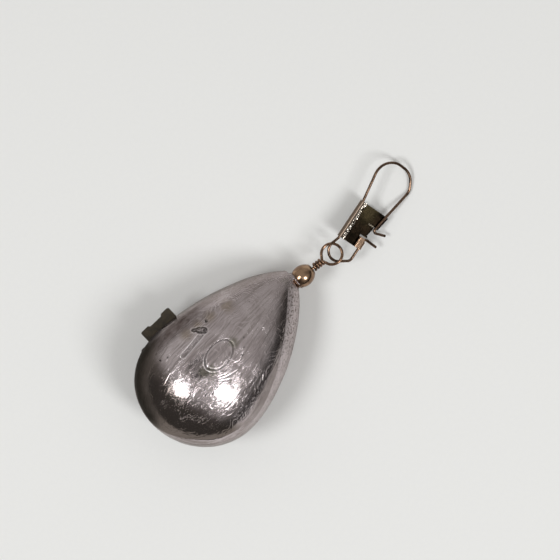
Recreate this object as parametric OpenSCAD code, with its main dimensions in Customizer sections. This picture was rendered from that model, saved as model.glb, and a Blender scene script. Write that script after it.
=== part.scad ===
// Clip-on fishing sinker: a cast teardrop weight with a barrel swivel in its tip and a two-loop wire snap.
// Millimetres. The weight lies on its back, a little nose down, with the snap's bow resting beside it.
// The origin is on the flat underneath, below the weight's widest section; +X runs to the tip, +Z is up.

/* [Weight] */
// Width of the cast weight at its widest section
weight_w = 35.8; // [32:0.2:40]
// Thickness of the cast weight, front to back
weight_t = 28; // [25:0.2:32]
// Length of the round belly, from its end to the widest section
belly_len = 18.2; // [15:0.1:22]
// Length of the taper, from the widest section to its cut end
taper_len = 35.6; // [34:0.1:38]
// Width of the taper's cut end
tip_w = 4; // [3.6:0.1:6]
// How far the weight's two ends lean to the tab's side
end_offset = 0.5; // [0:0.05:1]
// Distance of the section where the weight's middle line is straightest, from the widest one
straight_dist = 14; // [8:0.5:18]
// Depth of the flat that the weight lies on
rest_cut_depth = 0.4; // [0.2:0.05:1]
// Nose-down angle at which the weight lies, in degrees
lying_tilt = 7.6; // [6:0.1:9]

/* [Number] */
// Depth of the number in the front of the weight
digit_depth = 0.4; // [0.2:0.05:0.8]
// Width of the number's strokes
digit_stroke_w = 0.8; // [0.5:0.05:1.2]
// Height of the nought
nought_h = 9.3; // [6:0.1:12]
// Width of the nought
nought_w = 6.4; // [4:0.1:8]
// Distance of the nought's centre from the widest section
nought_x = 7.75; // [4:0.25:12]
// Distance of the nought's centre from the weight's axis
nought_y = 1.65; // [0:0.05:3]
// Height of the one
one_h = 9.1; // [6:0.1:12]
// Distance between the one's stem and the nought's centre
one_pitch = 7.2; // [6:0.1:9]
// Distance of the one's foot from the widest section
one_x = 1.15; // [0:0.05:5]
// Length of the one's flag
flag_len = 3.2; // [2:0.1:4.5]

/* [Side tab] */
// Length of the tab along the weight's flank
tab_len = 9.9; // [7:0.1:13]
// Distance of the tab's middle from the widest section
tab_x = 3.2; // [0:0.1:7]
// Height of the tab above the flank
tab_out_h = 2.7; // [1.5:0.1:4]
// Depth of the tab's root in the weight
tab_root_depth = 3; // [2:0.1:5]
// Thickness of the tab
tab_t = 1.6; // [1:0.1:2.5]
// Length of each end of the tab, beside the waist
tab_end_len = 2.6; // [1.5:0.1:3.2]
// Depth of the waist in the tab's outer edge
tab_waist_depth = 0.6; // [0.3:0.05:1]
// Corner radius of the tab
tab_corner_r = 0.5; // [0.3:0.05:0.8]

/* [Swivel] */
// Distance of the barrel's middle beyond the taper's cut end
swivel_out_len = 1.76; // [1.2:0.02:2.4]
// Distance of the barrel's middle to the right of the weight's axis
swivel_offset = 1.8; // [1:0.1:2.2]
// Angle between the swivel and the weight's axis, in degrees
swivel_skew = 12.5; // [0:0.5:15]
// Outer diameter of the barrel
barrel_d = 5.8; // [5:0.1:6.6]
// Length of the barrel
barrel_len = 6.4; // [5.8:0.1:6.6]
// Radius of the barrel's outline
barrel_arc_r = 3.8; // [3.7:0.1:4.6]
// Wall of the barrel
barrel_wall_t = 0.45; // [0.35:0.05:0.6]
// Diameter of the swivel's wire
eye_wire_d = 0.76; // [0.6:0.02:0.8]
// Thickness of the head
head_len = 1; // [0.7:0.1:1.3]
// Radius of the eye, to the middle of its wire
eye_r = 2.75; // [2.5:0.05:3]
// Angle between the stem and each leg of the eye, in degrees
leg_angle = 64; // [60:1:68]
// Advance of each wrap along the stem
wrap_pitch = 1.22; // [1.2:0.01:1.26]
// Number of wraps round the stem
wrap_turns = 2.25; // [1.25:0.25:3.25]

/* [Snap wire] */
// Diameter of the snap's wire
snap_wire_d = 0.74; // [0.6:0.02:0.8]
// Distance from the middle of the swivel's eye to the clasp's lower end
clasp_dist = 5; // [4.6:0.1:6]
// Distance of the eye's middle to the right of the clasp's tube
tube_offset = 1; // [0.9:0.05:1.3]
// Angle between the clasp's tube and the weight's axis, in degrees
snap_yaw = 6.6; // [0:0.2:12]
// Angle at which the snap leans across the swivel's eye, in degrees
snap_roll = 26; // [25:0.5:28]
// Distance from the tube to the line where the snap crosses the eye's plane
cross_offset = 1.6; // [1.4:0.05:1.9]
// Stretch of each wire that stays straight outside the tube
wire_lead_len = 0.2; // [0.1:0.05:0.5]
// Radius of the first bend of the lower loop
loop_flare_r = 1.6; // [1.2:0.1:2.2]
// Straight stretch across the swivel's eye
loop_side_len = 1.75; // [1.2:0.05:2.2]
// Radius of the lower loop's shoulder
loop_shoulder_r = 2.7; // [2.4:0.1:3]
// Radius of the lower loop's foot
loop_foot_r = 3.1; // [2.8:0.1:3.4]
// Straight stretch up from the foot
loop_rise_len = 2.5; // [2.2:0.05:2.8]
// Radius of the bend into the lower channel
loop_heel_r = 1.4; // [1.1:0.1:1.8]
// Straight stretch through the lower channel
loop_leg_len = 5.4; // [5:0.05:5.6]
// Radius of the first bend of the bow
bow_flare_r = 1.2; // [1:0.1:2]
// Straight side of the bow on the tube's side
bow_side_len = 7.45; // [6:0.05:9]
// Radius of the bow's end
bow_end_r = 4.75; // [4.4:0.05:5]
// Straight stretch across the bow's end
bow_flat_len = 1.3; // [0.8:0.05:1.8]
// Straight stretch from the bow's end to its corner
bow_slope_len = 1.12; // [0.8:0.02:1.6]
// Radius of the bow's corner
bow_corner_r = 3; // [2.4:0.1:3.6]
// Straight leg of the bow through the upper channel
bow_leg_len = 12.42; // [12:0.02:12.8]
// Radius of the bends to the two hooked ends
hook_r = 0.75; // [0.7:0.05:0.9]
// Straight part of the lower hooked end
loop_hook_len = 3.4; // [2:0.1:4]
// Straight part of the upper hooked end
bow_hook_len = 2.8; // [2:0.1:4]

/* [Clasp] */
// Length of the clasp
clasp_len = 11.1; // [10.8:0.1:11.4]
// Thickness of the clasp's sheet
sheet_t = 0.25; // [0.2:0.01:0.3]
// Width of the sheet's crimped edge, which lies on the plate beside the tube
crimp_w = 1.3; // [0.8:0.05:1.8]
// Length of the tongue over the lower loop's leg
tongue_len = 3.1; // [2.9:0.05:3.2]
// Width of the tongue from its step to the lower loop's leg
tongue_w = 1.75; // [1.2:0.05:2.2]
// Radius of the tongue's free corner
tongue_corner_r = 0.8; // [0.5:0.05:1]
// Width of the slit beside the tongue
slit_w = 0.5; // [0.4:0.05:0.6]
// Width of the clasp between its two channels
clasp_w = 7.2; // [6.6:0.05:7.3]
// Height of the channel's lips past the middle of the wire
lip_h = 0.2; // [0.1:0.02:0.3]

/* [Hidden] */

// Running clearance of a wire in its bore, radial
run_gap = 0.05;
// Clearance of a wire that seats in an open channel
seat_gap = 0.06;
// Clearance between the cast metal and what it is cast round
cast_gap = 0.03;
// Clearance between a wrap and the stem, and between the head and the barrel's end wall
wrap_gap = 0.05;
// Space between the ends of the two wires inside the clasp's tube
shank_gap = 0.5;
// How far a swept wire starts inside the round pin that it continues
wire_tuck_len = 0.3;
// Overrun of every cut
over_len = 1;

// Space between the last wrap and the barrel
wrap_end_gap = 0.17;
// Power of the belly's curve, and of the taper's: how late it starts, and how blunt it ends
belly_power = 2.2;
taper_start_power = 1.65;
taper_end_power = 0.72;
// Steps round the weight, along its belly and along its taper
weight_sides = 40;
belly_steps = 10;
taper_steps = 20;
// Points round the nought
nought_sides = 40;
// Sides of a swept wire, its steps through a bend and its steps in a wrap
wire_sides = 8;
snap_sides = 10;
bend_step = 13;
wrap_steps = 24;
// A swept wire's corners lie just inside the round pin's surface
corner_share = 0.99;
// Turns of the lower loop's bends, in degrees
loop_flare = -19;
loop_shoulder = 63;
loop_foot = 79;
loop_heel = 57;
loop_hook_turn = -92;
// Turns of the bow's bends, in degrees
bow_flare = 10.4;
bow_end = -102;
bow_heel = -58;
bow_corner = -40;
bow_hook_turn = 117;
// Angle where the wrap's helix takes over from the eye's closing leg, in degrees before the top
wrap_entry = 25;
// Turn of the tab to the flank's slope, in degrees
tab_skew = -6;
// Angle of the one's flag to its stem, in degrees
flag_angle = 137;
$fn = 48;

half_w = weight_w / 2;
swivel_x = taper_len + swivel_out_len;
half_t = weight_t / 2;
// Length of the whole taper, as if it ran on to a point
taper_full = taper_len / pow(1 - pow(tip_w / weight_w, 1 / taper_end_power), 1 / taper_start_power);

// Half width of the taper at a distance x from the widest section
function taper_half(x) = half_w * pow(1 - pow(x / taper_full, taper_start_power), taper_end_power);

// Sideways place of the weight's middle line at a distance x from the widest section
function middle_y(x) = end_offset * pow((x - straight_dist) / (taper_len - straight_dist), 2);

// [distance along the axis, share of the half width] of each ring, from the belly's end to the cut tip
weight_rings = concat(
    [for (i = [1:belly_steps])
        let (a = 90 * i / belly_steps)
        [-belly_len * pow(cos(a), 2 / belly_power), sin(a)]],
    [for (i = [1:taper_steps])
        let (x = taper_len * i / taper_steps)
        [x, taper_half(x) / half_w]]);

// How far the weight's underside reaches below its axis as it lies
lying_reach = max([for (p = weight_rings) p[1] * half_t * cos(lying_tilt) + p[0] * sin(lying_tilt)]);
axis_height = lying_reach - rest_cut_depth;

// Path of a bent wire. Each step is [straight length] or [bend radius, turn]; a state is [x, y, heading].
function step_end(at, step, share = 1) =
    len(step) == 1
        ? [at.x + share * step[0] * cos(at.z), at.y + share * step[0] * sin(at.z), at.z]
        : let (side = sign(step[1]), turned = at.z + share * step[1])
          [at.x + side * step[0] * (sin(turned) - sin(at.z)),
           at.y - side * step[0] * (cos(turned) - cos(at.z)), turned];
function state_after(steps, count, at) =
    count == 0 ? at : step_end(state_after(steps, count - 1, at), steps[count - 1]);
function step_count(step) = len(step) == 1 ? 1 : ceil(abs(step[1]) / bend_step);
function run_points(steps, at) =
    concat([[at.x, at.y, 0]],
           [for (i = [0:len(steps) - 1])
                let (start = state_after(steps, i, at), n = step_count(steps[i]))
                for (k = [1:n]) let (e = step_end(start, steps[i], k / n)) [e.x, e.y, 0]]);

// Frames that are carried along a path without twist, and the rings of a tube round it
function unit(v) = v / norm(v);
function path_way(path, i) =
    unit(path[min(i + 1, len(path) - 1)] - path[i]) + unit(path[i] - path[max(i - 1, 0)]);
function way_at(path, i) =
    i == 0 ? unit(path[1] - path[0])
    : i == len(path) - 1 ? unit(path[i] - path[i - 1]) : unit(path_way(path, i));
function square_to(v, way) = unit(v - (v * way) * way);
function normals(path, i, v) =
    i == len(path) ? [] : let (n = square_to(v, way_at(path, i))) concat([n], normals(path, i + 1, n));
function tube_points(path, r, sides) =
    let (ups = normals(path, 0, [0, 0, 1]))
    [for (i = [0:len(path) - 1])
        let (side = cross(way_at(path, i), ups[i]))
        for (k = [0:sides - 1])
            path[i] + r * (cos(360 * k / sides) * ups[i] + sin(360 * k / sides) * side)];
function skin_faces(rings, sides) =
    [for (i = [0:rings - 2], k = [0:sides - 1])
        let (a = i * sides + k, b = i * sides + (k + 1) % sides)
        each [[a, b + sides, b], [a, a + sides, b + sides]]];

// A round wire swept along a path as one closed tube
module swept_wire(path, d, sides) {
    last = (len(path) - 1) * sides;
    polyhedron(
        points = tube_points(path, d / 2 * corner_share, sides),
        faces = concat(skin_faces(len(path), sides),
                       [[for (k = [0:sides - 1]) k], [for (k = [sides - 1:-1:0]) last + k]]),
        convexity = 6);
}

module rod_x(d, from, to) {
    translate([from, 0, 0]) rotate([0, 90, 0]) cylinder(d = d, h = to - from);
}

// The swivel's wire, in the swivel's own frame: +X out of the barrel, the eye flat in the XY plane
neck_x = barrel_len / 2 + wrap_end_gap + eye_wire_d / 2 + wrap_turns * wrap_pitch;
eye_x = neck_x + eye_r / sin(leg_angle);
closing_len = eye_r / tan(leg_angle);
neck_bend_r = eye_wire_d;
neck_bend_len = neck_bend_r * tan(leg_angle / 2);
stem_end = neck_x - neck_bend_len;
wrap_r = eye_wire_d + wrap_gap;
eye_steps = [
    [wire_tuck_len],
    [neck_bend_r, -leg_angle],
    [closing_len - neck_bend_len],
    [eye_r, 180 + 2 * leg_angle]];
wrap_count = round(wrap_turns * wrap_steps);
wrap_path = [
    for (i = [0:wrap_count])
        let (a = 360 * i / wrap_steps - wrap_entry)
        [neck_x - wrap_pitch * a / 360, -wrap_r * sin(a), wrap_r * cos(a)]];
wrap_out = wrap_path[wrap_count] + eye_wire_d * unit(wrap_path[wrap_count] - wrap_path[wrap_count - 1]);
eye_path = concat(run_points(eye_steps, [stem_end - wire_tuck_len, 0, 0]), wrap_path, [wrap_out]);

// Least gap between the wraps of the swivel's wire, between points half a turn or more apart
wrap_least_gap = min([
    for (i = [0:wrap_count], j = [0:wrap_count])
        if (j - i >= wrap_steps / 2) norm(wrap_path[i] - wrap_path[j])]) - eye_wire_d;
echo(wrap_least_gap = wrap_least_gap);

// The head fills the end of the barrel's inside
head_x = barrel_len / 2 - barrel_wall_t - wrap_gap - head_len;
head_r = barrel_half(barrel_len / 2 - barrel_wall_t, barrel_wall_t) - wrap_gap;

module eye_form() {
    rod_x(eye_wire_d, head_x, stem_end);
    rod_x(2 * head_r, head_x, head_x + head_len);
    swept_wire(eye_path, eye_wire_d, wire_sides);
}

// Room for the wire in the cast metal: round the stem, round the wraps and legs together, and round the eye
module eye_room() {
    wire_room_r = eye_wire_d / 2 + cast_gap;
    legs_r = max(norm([wrap_r, eye_wire_d]), closing_len * sin(leg_angle)) + wire_room_r;
    rod_x(2 * wire_room_r, head_x, neck_x);
    rod_x(2 * legs_r, wrap_out.x - wire_room_r, neck_x + closing_len * cos(leg_angle) + wire_room_r);
    translate([eye_x, 0, 0]) rotate_extrude() translate([eye_r, 0]) circle(wire_room_r);
}

// The snap's wires, in the snap's own frame: +X along the clasp's tube to the bow, the clasp on the -Y side,
// +Z to the front
shank_len = (clasp_len - shank_gap) / 2;
loop_steps = [
    [wire_tuck_len + wire_lead_len],
    [loop_flare_r, loop_flare], [loop_side_len],
    [loop_shoulder_r, loop_shoulder], [loop_foot_r, loop_foot], [loop_rise_len],
    [loop_heel_r, loop_heel], [loop_leg_len],
    [hook_r, loop_hook_turn], [loop_hook_len]];
loop_start = [wire_tuck_len, 0, 180];
loop_leg_start = state_after(loop_steps, 7, loop_start);
loop_leg_end = state_after(loop_steps, 8, loop_start);
bow_steps = [
    [wire_tuck_len + wire_lead_len],
    [bow_flare_r, bow_flare], [bow_side_len],
    [bow_end_r, bow_end], [bow_flat_len], [bow_end_r, bow_heel], [bow_slope_len],
    [bow_corner_r, bow_corner], [bow_leg_len],
    [hook_r, bow_hook_turn], [bow_hook_len]];
bow_start = [clasp_len - wire_tuck_len, 0, 0];
bow_leg_end = state_after(bow_steps, 9, bow_start);
bow_lean = bow_leg_end.z + 180;

bore_r = snap_wire_d / 2 + run_gap;
curl_in = snap_wire_d / 2 + seat_gap;
curl_out = curl_in + sheet_t;
tube_r = max(curl_out, bore_r + sheet_t);
loop_leg_y = loop_leg_start.y;
tongue_y = loop_leg_y + tongue_w;
slit_x = tongue_len + slit_w;
trough_start = step_end([bow_leg_end.x, bow_leg_end.y, bow_lean], [snap_wire_d / 4]);
trough_len = (clasp_len - trough_start.x) / cos(bow_lean);
trough_end = step_end(trough_start, [trough_len]);

// Places and turns the weight as it lies, the swivel in the weight, and the snap in the swivel's eye
module lying() {
    translate([0, 0, axis_height]) rotate([0, lying_tilt, 0]) children();
}
module at_swivel() {
    lying() translate([swivel_x, -swivel_offset, 0]) rotate([0, 0, -swivel_skew]) children();
}
module at_snap() {
    lying()
        translate([swivel_x + eye_x * cos(swivel_skew), -swivel_offset - eye_x * sin(swivel_skew), 0])
            rotate([0, 0, snap_yaw])
                translate([clasp_dist, tube_offset * cos(snap_roll), 0])
                    snap_plane() children();
}
module snap_plane() {
    translate([0, 0, cross_offset * sin(snap_roll)]) rotate([snap_roll, 0, 0]) children();
}

// The weight's skin, drawn in all round by inset
module weight_form(inset) {
    ring_list = [for (p = weight_rings) let (x = p[0] + (p[0] < 0 ? inset : 0))
        [x, max(p[1] * half_w - inset, 0), max(p[1] * half_t - inset, 0)]];
    n = len(ring_list);
    points = concat(
        [for (p = ring_list, k = [0:weight_sides - 1])
            [p[0], middle_y(p[0]) + p[1] * cos(360 * k / weight_sides), p[2] * sin(360 * k / weight_sides)]],
        [[inset - belly_len, middle_y(-belly_len), 0]]);
    pole = n * weight_sides;
    polyhedron(
        points = points,
        faces = concat(
            skin_faces(n, weight_sides),
            [for (k = [0:weight_sides - 1]) [pole, k, (k + 1) % weight_sides]],
            [[for (k = [weight_sides - 1:-1:0]) (n - 1) * weight_sides + k]]),
        convexity = 4);
}

module nought_outline(shrink) {
    polygon([for (k = [0:nought_sides - 1])
        [(nought_h / 2 - shrink) * cos(360 * k / nought_sides),
         (nought_w / 2 - shrink) * sin(360 * k / nought_sides)]]);
}

module number_outline() {
    translate([nought_x, nought_y]) difference() {
        nought_outline(0);
        nought_outline(digit_stroke_w);
    }
    translate([one_x, nought_y + one_pitch - digit_stroke_w / 2]) square([one_h, digit_stroke_w]);
    translate([one_x + one_h, nought_y + one_pitch - digit_stroke_w / 2])
        rotate(flag_angle) square([flag_len, digit_stroke_w]);
}

module tab_outline(grow) {
    reach = tab_out_h + tab_root_depth;
    difference() {
        translate([-tab_len / 2 - grow, -reach - grow]) square([tab_len + 2 * grow, reach + 2 * grow]);
        tab_waist_cut(grow);
        for (side = [0, 1]) mirror([side, 0]) tab_corner_cut(grow);
    }
}
module tab_waist_cut(grow) {
    half = tab_len / 2 - tab_end_len;
    waist = half - tab_waist_depth;
    polygon([
        [-half, over_len], [half, over_len], [half, grow],
        [waist, grow - tab_waist_depth], [-waist, grow - tab_waist_depth], [-half, grow]]);
}
module tab_corner_cut(grow) {
    translate([tab_len / 2 + grow - tab_corner_r, grow - tab_corner_r]) difference() {
        square(tab_corner_r + over_len);
        circle(tab_corner_r);
    }
}

// The tab, with its outer edge parallel to the flank where it stands
module tab_form(grow) {
    translate([tab_x, middle_y(tab_x) + taper_half(tab_x) + tab_out_h, 0]) rotate([0, 0, tab_skew])
        translate([0, 0, -tab_t / 2 - grow]) linear_extrude(tab_t + 2 * grow) tab_outline(grow);
}

module lead_body() {
    color("dimgray") difference() {
        lying() difference() {
            weight_form(0);
            difference() {
                linear_extrude(weight_t) number_outline();
                weight_form(digit_depth);
            }
            tab_form(cast_gap);
        }
        at_swivel() barrel_room();
        at_swivel() rotate([0, 0, 180]) eye_room();
        translate([-weight_w, -weight_w, -weight_t])
            cube([2 * (weight_w + taper_len), 2 * weight_w, weight_t]);
    }
}

module side_tab() {
    color("black") lying() tab_form(0);
}

// Radius of the barrel at a distance x from its middle, drawn in by the wall
function barrel_half(x, wall) = barrel_d / 2 - barrel_arc_r + sqrt(pow(barrel_arc_r - wall, 2) - pow(x, 2));

module barrel_outline(wall) {
    reach = barrel_len / 2 - wall;
    intersection() {
        translate([barrel_d / 2 - barrel_arc_r, 0]) circle(barrel_arc_r - wall);
        translate([0, -reach]) square([barrel_d, 2 * reach]);
    }
}
module barrel_room() {
    rotate([0, 90, 0]) rotate_extrude() barrel_outline(-cast_gap);
}

module swivel_barrel() {
    mouth_r = eye_wire_d / 2 + run_gap;
    color("darkgoldenrod") at_swivel() rotate([0, 90, 0]) rotate_extrude() difference() {
        barrel_outline(0);
        barrel_outline(barrel_wall_t);
        translate([0, -barrel_len]) square([mouth_r, 2 * barrel_len]);
    }
}

module anchor_eye() {
    color("peru") at_swivel() rotate([0, 0, 180]) eye_form();
}

module swivel_eye() {
    color("peru") at_swivel() eye_form();
}

module snap_link() {
    color("saddlebrown") at_snap() {
        rod_x(snap_wire_d, 0, shank_len);
        swept_wire(run_points(loop_steps, loop_start), snap_wire_d, snap_sides);
    }
}

module snap_bow() {
    color("saddlebrown") at_snap() {
        rod_x(snap_wire_d, clasp_len - shank_len, clasp_len);
        swept_wire(run_points(bow_steps, bow_start), snap_wire_d, snap_sides);
    }
}

// A section in the YZ plane, drawn along X
module along_x(length) {
    rotate([90, 0, 90]) linear_extrude(length) children();
}

// A quarter of the sheet's curl round a wire, on its right and below it
module curl_outline() {
    difference() {
        intersection() {
            circle(curl_out);
            translate([-curl_out, -curl_out]) square(curl_out);
        }
        circle(curl_in);
    }
    translate([-curl_out, 0]) square([sheet_t, lip_h]);
    translate([-sheet_t, -curl_out]) square([2 * sheet_t, sheet_t]);
}

module plate() {
    translate([0, 0, -curl_out]) linear_extrude(sheet_t) polygon([
        [0, 0], [0, tongue_y - sheet_t], [slit_x, tongue_y - sheet_t], [slit_x, -clasp_w],
        [trough_start.x, -clasp_w], [trough_start.x, trough_start.y], [clasp_len, trough_end.y],
        [clasp_len, 0]]);
}

// The sheet's own edge, rolled right round the wire and pressed down on the plate
module crimp() {
    translate([0, -tube_r - crimp_w, -curl_in]) cube([clasp_len, tube_r + crimp_w, sheet_t]);
}

// The step up from the plate, the flat over the lower loop's leg, and the curl down past it
module tongue() {
    intersection() {
        translate([0, loop_leg_y, 0]) {
            along_x(tongue_len) {
                translate([-sheet_t, curl_in]) square([tongue_w + sheet_t, sheet_t]);
                translate([tongue_w - sheet_t, -curl_out]) square([sheet_t, 2 * curl_out]);
            }
            along_x(loop_leg_end.x) mirror([0, 1]) curl_outline();
        }
        translate([0, 0, -curl_out - over_len]) linear_extrude(2 * (curl_out + over_len)) tongue_outline();
    }
}
module tongue_outline() {
    width = tongue_w + curl_out;
    translate([0, tongue_y - width - over_len]) difference() {
        square([tongue_len, width + over_len]);
        translate([tongue_len - tongue_corner_r, width + over_len - tongue_corner_r]) difference() {
            square(tongue_corner_r + over_len);
            circle(tongue_corner_r);
        }
    }
}

module snap_clasp() {
    color("darkslategray") at_snap() {
        difference() {
            union() {
                rod_x(2 * tube_r, 0, clasp_len);
                plate();
                crimp();
            }
            rod_x(2 * bore_r, -over_len, clasp_len + over_len);
        }
        tongue();
        translate([trough_start.x, trough_start.y, 0]) rotate([0, 0, bow_lean])
            along_x(trough_len) curl_outline();
    }
}

lead_body();
side_tab();
swivel_barrel();
anchor_eye();
swivel_eye();
snap_link();
snap_bow();
snap_clasp();
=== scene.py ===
import math
from types import SimpleNamespace

import bpy
from mathutils import Matrix, Vector


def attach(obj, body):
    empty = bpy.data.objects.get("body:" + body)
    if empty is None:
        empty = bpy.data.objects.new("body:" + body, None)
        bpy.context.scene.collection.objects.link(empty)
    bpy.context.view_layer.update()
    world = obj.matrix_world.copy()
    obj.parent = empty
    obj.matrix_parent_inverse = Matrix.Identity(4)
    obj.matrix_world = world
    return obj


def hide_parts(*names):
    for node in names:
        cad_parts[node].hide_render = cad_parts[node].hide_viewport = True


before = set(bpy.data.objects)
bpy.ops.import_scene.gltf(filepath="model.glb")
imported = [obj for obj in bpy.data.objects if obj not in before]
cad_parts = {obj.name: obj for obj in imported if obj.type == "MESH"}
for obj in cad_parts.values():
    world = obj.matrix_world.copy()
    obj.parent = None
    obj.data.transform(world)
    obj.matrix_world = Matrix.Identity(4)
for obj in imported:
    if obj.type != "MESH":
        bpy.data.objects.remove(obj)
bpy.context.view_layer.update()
print("frame loaded:", sorted(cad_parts))


# where things lie, in millimetres and degrees: the weight is nose down on its back, +X to its tip

pose = {
    "tilt": 7.6,                 # nose-down angle
    "axisHeight": 13.765,        # the weight's axis above the floor
    "swivel": (37.36, -1.8),
    "swivelSkew": 12.5,
    "eyeReach": 9.555,           # barrel's middle to the eye's middle
    "snapShift": (5.0, 1.0),     # eye's middle to the start of the clasp's tube
    "snapYaw": 6.6,
    "snapRoll": 26.0,
    "snapCross": 1.6,
}


def moved(x, y, z=0.0):
    return Matrix.Translation((x, y, z))


def turned(degrees, axis="Z"):
    return Matrix.Rotation(math.radians(degrees), 4, axis)


snapAside = pose["snapShift"][1] * math.cos(math.radians(pose["snapRoll"]))
snapRise = pose["snapCross"] * math.sin(math.radians(pose["snapRoll"]))
lying = Matrix.Scale(0.001, 4) @ moved(0, 0, pose["axisHeight"]) @ turned(pose["tilt"], "Y")
atSwivel = lying @ moved(*pose["swivel"]) @ turned(-pose["swivelSkew"])
atSnap = (atSwivel @ moved(pose["eyeReach"], 0) @ turned(pose["swivelSkew"] + pose["snapYaw"])
          @ moved(pose["snapShift"][0], snapAside, snapRise) @ turned(pose["snapRoll"], "X"))


# modelling helpers, all in millimetres until a piece is placed

making = {
    "seed": 0.01,                # size of the plane that is merged to a point and pulled out
    "latheWeld": 0.002,
    "wireWeld": 0.0005,
    "wireSides": 5,
    "bendPitch": 0.09,           # between a wire's points, round a bend and along a straight
    "straightPitch": 0.36,
    "endEase": 0.25,             # share of its radius by which a wire's cut end is rounded
    "endSteps": 2,
    "flatOn": 0.9,               # how squarely a face looks along the wire to count as its end
    "ringPoints": 48,
    "plainSides": 32,            # of what is hidden or small
    "wireSmooth": 40.0,          # edges sharper than this stay sharp, degrees
    "thinSmooth": 35.0,
}


def pick(obj, *others):
    # the first one is active
    bpy.ops.object.select_all(action="DESELECT")
    for chosen in (obj, *others):
        chosen.select_set(True)
    bpy.context.view_layer.objects.active = obj


def newShape(add, name, **settings):
    bpy.ops.object.select_all(action="DESELECT")
    add(**settings)
    obj = bpy.context.object
    obj.name = name
    return obj


def openMesh(obj):
    # edit mode with the whole mesh selected
    pick(obj)
    bpy.ops.object.mode_set(mode="EDIT")
    bpy.ops.mesh.select_mode(type="VERT")
    bpy.ops.mesh.select_all(action="SELECT")


def closeMesh():
    bpy.ops.object.mode_set(mode="OBJECT")


def markOnly(obj, kind, test):
    # object mode: of its vertices, edges and polygons, leaves marked those of one kind that pass
    for part in ("vertices", "edges", "polygons"):
        for item in getattr(obj.data, part):
            item.select = part == kind and test(item)


def place(obj, matrix):
    # puts a finished piece where it belongs, with its place in its mesh
    pick(obj)
    obj.matrix_world = matrix @ obj.matrix_world
    bpy.ops.object.transform_apply(location=True, rotation=True, scale=True)
    return obj


def finishModifier(obj, kind, **settings):
    pick(obj)
    bpy.ops.object.modifier_add(type=kind)
    modifier = obj.modifiers[-1]
    for key, value in settings.items():
        setattr(modifier, key, value)
    bpy.ops.object.modifier_apply(modifier=modifier.name)


def cutAway(obj, cutter):
    finishModifier(obj, "BOOLEAN", operation="DIFFERENCE", object=cutter, solver="EXACT")
    bpy.data.objects.remove(cutter, do_unlink=True)


def weldOn(obj, other):
    finishModifier(obj, "BOOLEAN", operation="UNION", object=other, solver="EXACT")
    bpy.data.objects.remove(other, do_unlink=True)


def smoothBelow(obj, degrees):
    # smooth shading, except over edges sharper than the angle
    pick(obj)
    bpy.ops.object.shade_smooth_by_angle(angle=math.radians(degrees))


def roundAngles(count):
    return [math.radians(360 / count * step) for step in range(count)]


def pullLine(name, points):
    # left in edit mode: a row of vertices pulled out from point to point
    obj = newShape(bpy.ops.mesh.primitive_plane_add, name, size=making["seed"])
    openMesh(obj)
    bpy.ops.mesh.merge(type="CENTER")
    bpy.ops.transform.translate(value=points[0])
    for start, end in zip(points, points[1:]):
        stride = tuple(b - a for a, b in zip(start, end))
        bpy.ops.mesh.extrude_region_move(TRANSFORM_OT_translate={"value": stride})
    bpy.ops.mesh.select_all(action="SELECT")
    return obj


def lathe(name, profile, steps):
    # a profile of (x, radius) spun about X
    obj = pullLine(name, [(x, radius, 0) for x, radius in profile])
    bpy.ops.mesh.spin(steps=steps, angle=2 * math.pi, center=(0, 0, 0), axis=(1, 0, 0))
    bpy.ops.mesh.select_all(action="SELECT")
    bpy.ops.mesh.remove_doubles(threshold=making["latheWeld"])
    bpy.ops.mesh.normals_make_consistent(inside=False)
    closeMesh()
    return obj


def easeEnd(obj, end, inner, radius):
    # a wire's flat end made one face, and its edge rounded
    ahead = (Vector(end) - Vector(inner)).normalized()
    markOnly(obj, "polygons", lambda face: (face.center - Vector(end)).length < radius
             and abs(face.normal.dot(ahead)) > making["flatOn"])
    bpy.ops.object.mode_set(mode="EDIT")
    bpy.ops.mesh.select_mode(type="FACE")
    bpy.ops.mesh.dissolve_faces()
    bpy.ops.mesh.bevel(offset=radius * making["endEase"], segments=making["endSteps"], affect="EDGES")
    closeMesh()


def bendWire(name, points, radius, closed=False):
    # a round wire drawn along its points, with its cut ends eased
    obj = newShape(bpy.ops.curve.primitive_nurbs_path_add, name)
    curve = obj.data
    curve.splines.clear()
    spline = curve.splines.new("POLY")
    spline.points.add(len(points) - 1)
    for point, co in zip(spline.points, points):
        point.co = (*co, 1)
    curve.twist_mode = "MINIMUM"
    curve.bevel_depth = radius
    curve.bevel_resolution = making["wireSides"]
    curve.use_fill_caps = not closed
    spline.use_cyclic_u = closed
    bpy.ops.object.convert(target="MESH")
    openMesh(obj)
    bpy.ops.mesh.remove_doubles(threshold=making["wireWeld"])     # joins the flat ends to the wire
    closeMesh()
    if not closed:
        easeEnd(obj, points[0], points[1], radius)
        easeEnd(obj, points[-1], points[-2], radius)
    openMesh(obj)
    bpy.ops.mesh.normals_make_consistent(inside=False)
    closeMesh()
    smoothBelow(obj, making["wireSmooth"])
    return obj


def runWire(steps, start):
    # steps are [straight] or [bend radius, turn in degrees]; start is (x, y, heading)
    x, y, heading = start[0], start[1], math.radians(start[2])
    points = [(x, y, 0)]
    for step in steps:
        if len(step) == 1:
            count = max(1, int(step[0] / making["straightPitch"]))
            stride, swing = step[0] / count, 0.0
        else:
            radius, turn = step[0], math.radians(step[1])
            count = max(2, int(abs(turn) * radius / making["bendPitch"]))
            stride, swing = 2 * radius * math.sin(abs(turn) / count / 2), turn / count
        for _ in range(count):
            heading += swing / 2
            x += stride * math.cos(heading)
            y += stride * math.sin(heading)
            heading += swing / 2
            points.append((x, y, 0))
    return points


# shader helpers

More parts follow.
